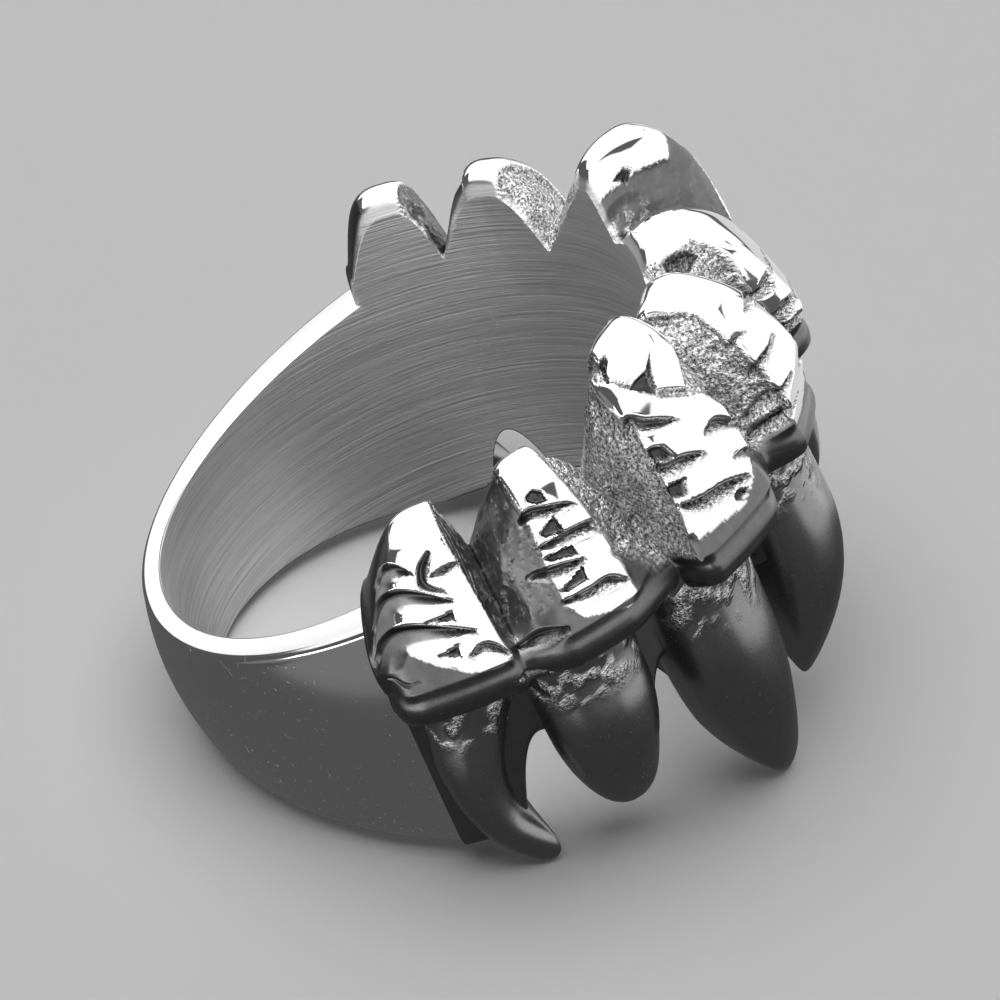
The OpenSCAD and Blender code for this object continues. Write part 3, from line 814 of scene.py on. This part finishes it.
def paw():
    """The whole paw's skin with a tucked end on each side, whose numbers for the surface and for
    painted shade are those of the column it starts from, cut into a piece for each toe."""
    polar, flank, away = paw_grid()
    skin, lines, finish_and_shade = paw_skin(polar, flank, away)
    skin = np.concatenate([tucked(polar[0], -1)[::-1], skin, tucked(polar[-1], 1)])
    ends = (TUCK_COLS, TUCK_COLS), (0, 0)
    lines = np.pad(lines, (*ends, (0, 0)), mode="edge")
    finish_and_shade = {key: np.pad(values, ends, mode="edge") for key, values in finish_and_shade.items()}
    cuts = [TUCK_COLS + n * TOE_COLS for n in range(len(TOES) + 1)]
    cuts[0], cuts[-1] = 0, len(skin) - 1
    pieces = []
    for n, (start, end) in enumerate(zip(cuts, cuts[1:])):
        part = slice(start, end + 1)
        facts = {key: values[part] for key, values in finish_and_shade.items()}
        grid = to_frame(skin[part])
        pieces.append(new_piece(f"toe_{n + 1}", grid, lines[part], TOE_CREASE_DEG, **facts))
    return pieces


ring_pieces["paw"] = paw()

# %% [markdown]
# ## The talons
#
# A talon grows down from under the fold, bulges, and narrows to a blunt point that stays near
# the finger. On the real ring they are smooth and look dark, with the sandy skin only at the root;
# here their dark look is painted shade in their tone.
# Each one is a round section carried along an axis on the finger's cylinder, with its inner
# side pressed flat to the bore. The sections stand square to the axis, so that the hooked one
# keeps its thickness round its bend, which a plain stretch in height wouldn't give.

# %% Talons
TALON_COLS, TALON_ROWS = 110, 96
# height from which a talon is shaped, and the straight piece above it that hides in the fold
TALON_TOP, TALON_HIDDEN = FOLD_Z - 0.9, 0.9
# radius of the cylinder on which the axis is drawn
AXIS_R = 12.0
# the belly's place down the talon, and the root's thickness as a share of the belly's
BELLY_DOWN, ROOT_SHARE = 0.35, 0.93
# how square the section is, where 2 is round: outside and at the sides, and towards the bore
SQUARE_OUT, SQUARE_IN = 2.1, 3.4
# how much closer the columns get towards the tip, and where they stop short of it
TIP_CROWDING, TIP_STOP = 1.25, 0.9995
# how blunt the tip is across the talon and through it, where more is blunter
TIP_ACROSS, TIP_THROUGH = 5, 7
# spacing and first seed of the sand's patches, and height, spacing and first seed of its bumps
ROOT_PATCHES, ROOT_BUMPS = (1.1, 40), (0.02, 0.4, 20)
# how satin the talons are; this also gives them a darker tone, a painted shade
TALON_SATIN_AND_SHADE = 0.85


def power_wave(wave, power):
    """Sine or cosine with its size raised to 2 / power, which squares up a round section."""
    return np.sign(wave) * np.abs(wave) ** (2 / power)


def talon_walls(down, belly_r, tip_r):
    """A talon's outer and inner radius, down it from 0 at the top to 1 at the tip. The outer one
    swells to the belly and then thins with the square of the way to the tip, and the inner one
    leaves the bore near the tip."""
    taper = (tip_r + 0.5 - BORE_R) / (belly_r - BORE_R)
    above = mix(ROOT_SHARE, 1, ease(0, BELLY_DOWN, down))
    past = mix(1, taper, (np.clip(down - BELLY_DOWN, 0, 1) / (1 - BELLY_DOWN)) ** 2)
    outer = BORE_R + (belly_r - BORE_R) * np.where(down < BELLY_DOWN, above, past)
    inner = BORE_R + 0.03 + (tip_r - 0.45 - BORE_R) * ease(0.62, 1, down)
    return outer, inner


def talon(n):
    """Talon n: sections square to its axis, whose half width and walls follow curves down it and
    close at the tip like a rounded box. The columns get closer towards the tip."""
    axis, widths, tip_z, belly_r, tip_r = TALONS[n]
    d = np.minimum(1 - (1 - np.linspace(0, 1, TALON_COLS)) ** TIP_CROWDING, TIP_STOP)
    z = mix(TALON_TOP + TALON_HIDDEN, tip_z, d)
    down = np.clip((TALON_TOP - z) / (TALON_TOP - tip_z), 0, 1)
    s = np.radians(curve(axis, down)) * AXIS_R
    along = np.stack([np.gradient(s), np.gradient(z)], -1)
    along /= np.linalg.norm(along, axis=1, keepdims=True)
    across = np.stack([-along[:, 1], along[:, 0]], -1)
    narrow, thin = (np.sqrt(np.clip(1 - down**power, 0, 1)) for power in (TIP_ACROSS, TIP_THROUGH))
    half = np.radians(curve(widths, down)) * AXIS_R * narrow * np.abs(across[:, 0])
    outer, inner = talon_walls(down, belly_r, tip_r)
    middle, thick = (outer + inner) / 2, (outer - inner) / 2 * thin
    phi = np.linspace(0, 2 * math.pi, TALON_ROWS, endpoint=False)[None, :]
    wave = np.sin(phi)
    side = power_wave(np.cos(phi), SQUARE_OUT) * half[:, None]
    rise = np.where(wave > 0, power_wave(wave, SQUARE_OUT), power_wave(wave, SQUARE_IN))
    turned = np.degrees((s[:, None] + side * across[:, :1]) / AXIS_R)
    mm = ring_mm(middle[:, None] + thick[:, None] * rise, turned, z[:, None] + side * across[:, 1:])
    spacing, seed = ROOT_PATCHES
    patch = ease(0.0, 0.5, cast_noise(mm, spacing, seed + n) + 0.15)
    sandy = (1 - ease(0.05, 0.22, down))[:, None] * ease(-0.2, 0.5, wave) * patch
    height, spacing, seed = ROOT_BUMPS
    sand = height * cast_noise(mm, spacing, seed + n) * sandy
    mm = mm + grid_normals(mm) * sand[..., None]
    return new_piece(f"talon_{n + 1}", to_frame(mm), sandy=sandy, satin=TALON_SATIN_AND_SHADE)


ring_pieces["talons"] = [talon(n) for n in range(len(TALONS))]

# %% [markdown]
# ## Steel in its four finishes, with painted shade
#
# All of the ring is one steel, so the finishes are one shader. What changes is how the surface
# was left: mirror polish on the high places, a satin skin under the fold and on the talons, the
# sandy skin of the mould in the deep places, and fine turned lines in the bore. The satin places
# also get a far darker tone, and creases and pits a darker tone of their own; both are painted
# shade. The numbers on the grids choose between them. Painted masks would do the same, but would
# need image files.

# %% A helper for shaders
class Nodes:
    """Short hands for building a shader: add a node, set its inputs and link them."""

    def __init__(self, name):
        self.material = bpy.data.materials.new(name)
        self.material.use_nodes = True
        self.tree = self.material.node_tree
        self.shader = self.tree.nodes["Principled BSDF"]

    def add(self, kind, inputs=None, **settings):
        """A new node of a kind with its settings and inputs."""
        node = self.tree.nodes.new(kind)
        for key, value in settings.items():
            setattr(node, key, value)
        for key, value in (inputs or {}).items():
            self.set(node.inputs[key], value)
        return node

    def set(self, socket, value):
        """Link a socket to another one, or give it a plain value."""
        if isinstance(value, bpy.types.NodeSocket):
            self.tree.links.new(value, socket)
        else:
            socket.default_value = value

    def maths(self, operation, a, b=0.0, c=0.0, clamp=False):
        """The result of one operation on up to three numbers."""
        node = self.add("ShaderNodeMath", operation=operation, use_clamp=clamp)
        for socket, value in zip(node.inputs, (a, b, c)):
            self.set(socket, value)
        return node.outputs[0]

    def grey(self, a, b, factor):
        """A number between a and b, by a factor from 0 to 1."""
        node = self.add("ShaderNodeMix", data_type="FLOAT")
        for key, value in ((0, factor), (2, a), (3, b)):
            self.set(node.inputs[key], value)
        return node.outputs[0]

    def attribute(self, name, output="Fac"):
        """One of the numbers, or the coordinates, that a grid carries."""
        return self.add("ShaderNodeAttribute", attribute_name=name).outputs[output]

    def noise(self, vector, scale, detail=2.0, rough=0.5):
        """A cloudy number round 0.5, with so many bumps to the unit of the vector."""
        inputs = {"Vector": vector, "Scale": scale, "Detail": detail, "Roughness": rough}
        return self.add("ShaderNodeTexNoise", inputs).outputs["Fac"]

    def streaks(self, vector, scale, turn, detail, rough):
        """A noise drawn out into lines that run along the first direction, a little turned."""
        inputs = {"Vector": vector, "Scale": scale, "Rotation": (0, 0, turn)}
        return self.noise(self.add("ShaderNodeMapping", inputs).outputs[0], 1.0, detail, rough)

    def bump(self, height, distance, normal=None):
        """The normal bent by a height, as if it stood up by the distance in metres."""
        inputs = {"Height": height, "Distance": distance, "Strength": 1.0}
        if normal is not None:
            inputs["Normal"] = normal
        return self.add("ShaderNodeBump", inputs).outputs[0]


# %% Steel
# bumps to the metre of the four noises
GRAIN, LUMPS, BLOTCHES, SPECKS = 9500, 3300, 2600, 6500
# tone and roughness of each finish, from the least to the most; the satin tone, far darker than
# steel, is a painted shade
POLISHED_TONE, SATIN_SHADE_TONE, SANDY_TONE, BORE_TONE = 0.9, (0.125, 0.19), (0.12, 1.0), (0.5, 0.9)
POLISHED_ROUGH, SATIN_ROUGH, SANDY_ROUGH, BORE_ROUGH = 0.07, (0.28, 0.36), (0.3, 0.5), (0.42, 0.52)
# what a place with painted shade loses of its tone, and how much more blue there is than red and
# green
PAINTED_SHADE_LOSS, BLUE = -0.72, 1.01
SKIN_BUMP, BRUSH_BUMP = 0.00006, 0.00003


def steel():
    """Polished steel with satiny, sandy and brushed places chosen by the grid's numbers. Each one
    takes over from those before it, first in tone, then in roughness. The satiny places take a far
    darker tone, a painted shade, and the places with painted shade lose tone as well. The bump is
    the sand's, with a faint skin and specks on the satiny places, and under it the brushed lines."""
    m = Nodes("steel")
    place_m = m.add("ShaderNodeTexCoord").outputs["Object"]
    sandy, satin, bore, painted_shade = (m.attribute(name) for name in FINISH_AND_SHADE_KEYS)
    lines = m.attribute("scratch", "Vector")

    grain = m.noise(place_m, GRAIN, 2.0, 0.7)
    lumps = m.noise(place_m, LUMPS, 3.0, 0.6)
    # the grain with more contrast, and specks where a noise is above a threshold
    crisp = m.maths("MULTIPLY_ADD", grain, 3.6, -1.35, clamp=True)
    blotch = m.noise(place_m, BLOTCHES)
    specks = m.maths("GREATER_THAN", m.noise(place_m, SPECKS, 0.0), 0.765)
    # brushed lines, long and short, in millimetres round the finger and along it
    long_lines = m.streaks(lines, (0.09, 9, 1), 0.03, 4.0, 0.65)
    short_lines = m.streaks(lines, (0.3, 16, 1), -0.02, 2.0, 0.5)
    brushed = m.grey(long_lines, short_lines, 0.4)

    sand_mix = m.maths("MULTIPLY", crisp, m.maths("ADD", lumps, 0.3))
    brush_mix = m.maths("MULTIPLY_ADD", brushed, 2.4, -0.7, clamp=True)
    # the satin places take a tone far darker than steel, a painted shade
    tone = m.grey(POLISHED_TONE, m.grey(*SATIN_SHADE_TONE, blotch), satin)
    tone = m.grey(tone, m.grey(*SANDY_TONE, sand_mix), sandy)
    tone = m.grey(tone, m.grey(*BORE_TONE, brush_mix), bore)
    # painted shade in creases and pits takes tone away
    tone = m.maths("MULTIPLY", tone, m.maths("MULTIPLY_ADD", painted_shade, PAINTED_SHADE_LOSS, 1.0))
    colours = {"Red": tone, "Green": tone, "Blue": m.maths("MULTIPLY", tone, BLUE)}
    colour = m.add("ShaderNodeCombineColor", colours).outputs[0]

    rough = m.grey(POLISHED_ROUGH, m.grey(*SATIN_ROUGH, grain), satin)
    rough = m.grey(rough, m.grey(*SANDY_ROUGH, blotch), sandy)
    rough = m.grey(rough, m.grey(*BORE_ROUGH, brushed), bore)

    sand_height = m.maths("MULTIPLY", m.maths("MULTIPLY_ADD", lumps, 1.3, grain), sandy)
    skin_height = m.maths("MULTIPLY", grain, m.maths("MULTIPLY", satin, 0.05))
    speck_height = m.maths("MULTIPLY", specks, m.maths("MULTIPLY", satin, 0.6))
    height = m.maths("ADD", m.maths("ADD", sand_height, skin_height), speck_height)
    normal = m.bump(height, SKIN_BUMP)
    normal = m.bump(m.maths("MULTIPLY", brushed, bore), BRUSH_BUMP, normal)

    s = m.shader.inputs
    m.set(s["Base Color"], colour)
    m.set(s["Metallic"], 1.0)
    m.set(s["Roughness"], rough)
    m.set(s["Normal"], normal)
    return m.material


steel_with_painted_shade = steel()
steel_pieces = [ring_pieces["band"], *ring_pieces["paw"], *ring_pieces["talons"]]
for piece in steel_pieces:
    piece.data.materials.append(steel_with_painted_shade)
print(len(steel_with_painted_shade.node_tree.nodes), "nodes of steel on", len(steel_pieces), "pieces")

# %% [markdown]
# ## The studio
#
# Polished metal shows only what it reflects, so the lights are the larger part of its look. One
# soft box overhead lights the pale floor. The other lights are panels that only the metal
# mirrors: a wide sky turns faces and rims white, upright ones at the sides draw their edges, one
# lies at the floor's level, and two low ones fill the bore's shadow side. What looks down stays
# dark, as on the real ring, because the metal doesn't mirror the floor, and the talons and fold
# are darker still from a painted shade in their tone. A photographed room would give richer
# reflections, but it would need an image file.

# %% Floor
FLOOR_HALF = 0.6


def floor_sheet():
    """A plain pale sheet under the ring, large enough to fill the view. Mirror rays miss it."""
    mesh = bpy.data.meshes.new("floor")
    corners = [(x * FLOOR_HALF, y * FLOOR_HALF, 0) for x, y in ((-1, -1), (1, -1), (1, 1), (-1, 1))]
    mesh.from_pydata(corners, [], [(0, 1, 2, 3)])
    sheet = bpy.data.objects.new("floor", mesh)
    bpy.context.scene.collection.objects.link(sheet)
    m = Nodes("pale_floor")
    m.set(m.shader.inputs["Base Color"], (0.6, 0.6, 0.6, 1))
    m.set(m.shader.inputs["Roughness"], 0.75)
    mesh.materials.append(m.material)
    sheet.visible_glossy = False
    print("floor of", 2 * FLOOR_HALF, "m")


floor_sheet()

# %% Lights and room
RING_MIDDLE = Vector((0, 0, 0.008))
# name, place, width and height in metres, power in watts, whether it lies flat
PANELS = [
    ("sky", (0.05, 0.05, 0.45), (1.3, 1.3), 6.6, False),
    ("near_panel", (-0.5, -0.05, 0.2), (1.0, 0.42), 1.5, False),
    ("right_panel", (0.1, -0.75, 0.17), (1.7, 0.75), 4.1, False),
    ("far_panel", (0.5, 0.05, 0.24), (0.9, 0.4), 1.25, False),
    ("lying_panel", (0.312, -0.312, -0.0005), (0.6, 0.6), 0.68, True),
    ("left_strip", (-0.62, 0.6, -0.15), (1.0, 0.22), 2.2, False),
    ("low_fill", (-0.55, 0.65, -0.3), (1.4, 0.5), 0.25, False),
]
ROOM_GREY, ROOM_STRENGTH = 0.5, 0.2


def soft_box(name, spot, size, power, lying=False, panel=True):
    """A soft rectangular light at a spot, turned to the ring or, lying, straight up. The metal
    mirrors a panel, but the panel doesn't light the floor."""
    light = bpy.data.lights.new(name, "AREA")
    light.shape, light.size, light.size_y, light.energy = "RECTANGLE", *size, power
    lamp = bpy.data.objects.new(name, light)
    bpy.context.scene.collection.objects.link(lamp)
    lamp.location = spot
    lamp.visible_diffuse = not panel
    toward = Vector((0, 0, 1)) if lying else RING_MIDDLE - lamp.location
    lamp.rotation_euler = toward.to_track_quat("-Z", "Y").to_euler()


soft_box("overhead", (0.0, 0.0, 0.42), (0.5, 0.5), 1.6, panel=False)
for row in PANELS:
    soft_box(*row)
world = bpy.data.worlds.new("room")
world.use_nodes = True
room = world.node_tree.nodes["Background"].inputs
room["Color"].default_value = (ROOM_GREY, ROOM_GREY, ROOM_GREY, 1)
room["Strength"].default_value = ROOM_STRENGTH
bpy.context.scene.world = world
print("one soft box and", len(PANELS), "panels")

# %% [markdown]
# ## The camera
#
# The camera stands where the photographer's did: its turn and distance were worked out from the
# ellipses of the bore's two rims, in the ring's own coordinates, and go through the same lean
# and lift as the ring. Placing it by eye until the picture fits would do for the looks, but not
# for reading sizes from the photo. A long lens keeps the near and the far side at nearly the
# same scale.

# %% Camera
# the camera's right, down and ahead directions, and the ring's middle in them, in mm
CAMERA_AXES = np.array([
    [-0.05378, -0.93974, -0.33763],
    [-0.53629, 0.3124, -0.78409],
    [0.84232, 0.13889, -0.52078],
])
CAMERA_SHIFT = np.array([-1.92139, 1.30298, 144.05223])
FOCAL_PX, FRAME_PX, SENSOR_MM = 4000, 1000, 36


def camera():
    """A camera whose right, up and back axes are the measured ones after the ring's lean, and
    whose lens is the measured one: its length in pixels times the sensor's width per pixel."""
    right, down, ahead = (TILT @ axis for axis in CAMERA_AXES)
    spot = (TILT @ (-CAMERA_AXES.T @ CAMERA_SHIFT) + REST_SHIFT) * MM
    turn = np.eye(4)
    turn[:3] = np.stack([right, -down, -ahead, spot], 1)
    data = bpy.data.cameras.new("photo_view")
    data.sensor_width = SENSOR_MM
    data.lens = FOCAL_PX / FRAME_PX * SENSOR_MM
    data.clip_start = 0.01
    view = bpy.data.objects.new("photo_view", data)
    bpy.context.scene.collection.objects.link(view)
    view.matrix_world = Matrix(turn.tolist())
    bpy.context.scene.camera = view
    print("camera at", np.round(spot / MM, 1), "mm, lens", data.lens, "mm")


camera()
bpy.context.scene.view_settings.view_transform = "Standard"
